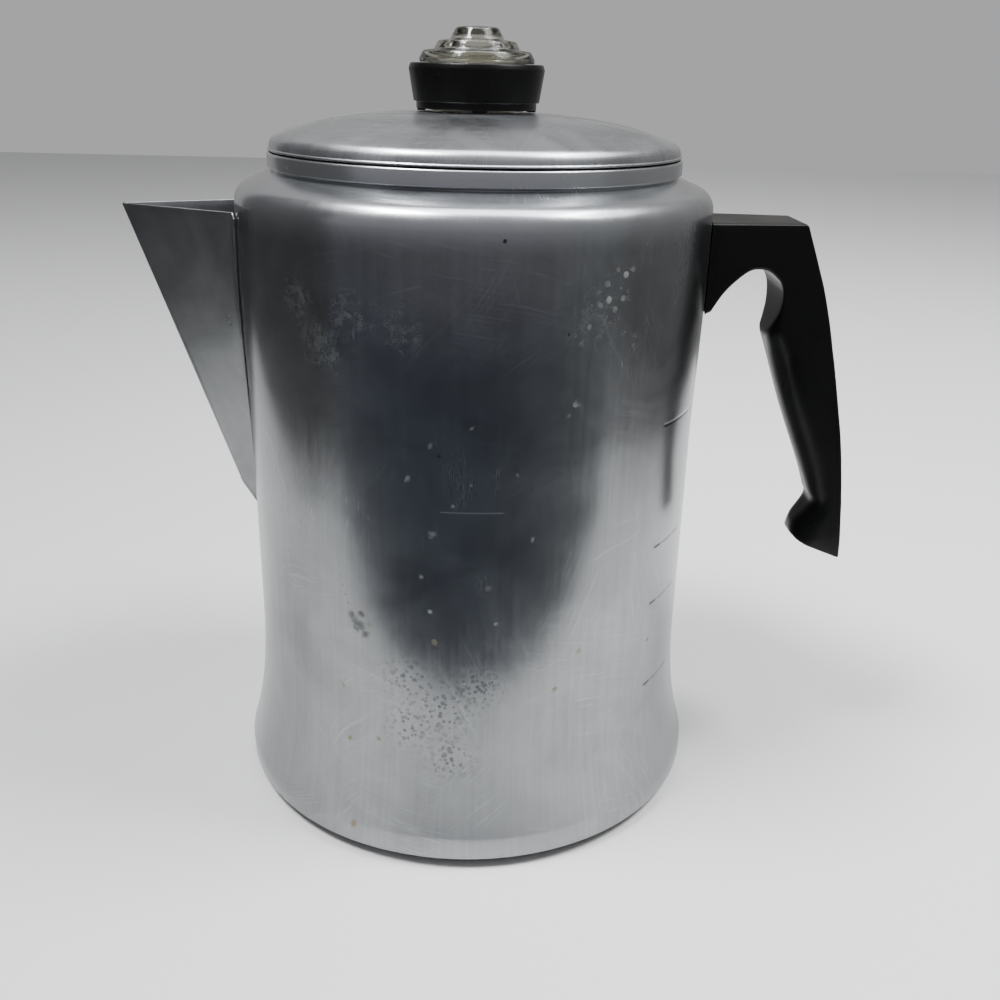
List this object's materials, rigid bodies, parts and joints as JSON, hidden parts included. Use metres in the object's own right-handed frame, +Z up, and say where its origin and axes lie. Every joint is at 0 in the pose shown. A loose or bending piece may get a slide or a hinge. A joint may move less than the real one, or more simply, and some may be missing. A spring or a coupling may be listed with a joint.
{
  "type": "coffee percolator",
  "caption": "Stovetop coffee percolator: flared aluminium pot with V spout, black hanging handle, domed lid with stepped glass knob, and a lift-out basket and pump.",
  "frame": {"origin": "centre of the pot's flat base, on its turning axis, at the surface that it stands on", "axes": "+Z up along the pot's axis, +X towards the handle, -X towards the spout, -Y towards a viewer with the handle on the right"},
  "size_m": [0.2653, 0.1752, 0.2706],
  "materials": {
    "pot_aluminium": "worn satin, scratched and water-spotted",
    "spout_aluminium": "dull satin",
    "lid_aluminium": "worn polish",
    "inner_aluminium": "matte",
    "phenolic": "semi-gloss moulded phenolic",
    "glass": "clear pressed glass",
    "gasket": "matte",
    "steel": "plated"
  },
  "bodies": {
    "pot": {"pot_body": "pot_aluminium", "spout": "spout_aluminium", "handle": "phenolic", "handle_bracket": "steel", "bracket_rivet_left": "pot_aluminium", "bracket_rivet_right": "pot_aluminium", "handle_screw": "steel", "handle_washer": "steel", "handle_nut": "steel"},
    "pump": {"pump_stem": "inner_aluminium", "basket_stop": "inner_aluminium", "pump_foot": "inner_aluminium", "valve_retainer": "inner_aluminium"},
    "valve": {"valve_disc": "steel"},
    "basket": {"coffee_basket": "inner_aluminium", "basket_sleeve": "inner_aluminium"},
    "cover": {"basket_cover": "inner_aluminium"},
    "lid": {"lid": "lid_aluminium"},
    "knob": {"glass_knob": "glass", "knob_collar": "phenolic", "knob_gasket": "gasket"}
  },
  "joints": [
    {"name": "pump_lift", "type": "slide", "parent": "pot", "child": "pump", "axis": [0, 0, 1], "range_m": [0, 0.25]},
    {"name": "valve_lift", "type": "slide", "parent": "pump", "child": "valve", "axis": [0, 0, 1], "range_m": [0, 0.002]},
    {"name": "basket_lift", "type": "slide", "parent": "pump", "child": "basket", "axis": [0, 0, 1], "range_m": [0, 0.1]},
    {"name": "cover_lift", "type": "slide", "parent": "basket", "child": "cover", "axis": [0, 0, 1], "range_m": [0, 0.05]},
    {"name": "lid_lift", "type": "slide", "parent": "cover", "child": "lid", "axis": [0, 0, 1], "range_m": [0, 0.09]},
    {"name": "knob_turn", "type": "hinge", "parent": "lid", "child": "knob", "pos_m": [0, 0, 0.2441], "axis": [0, 0, 1], "range_deg": [0, 60]}
  ]
}
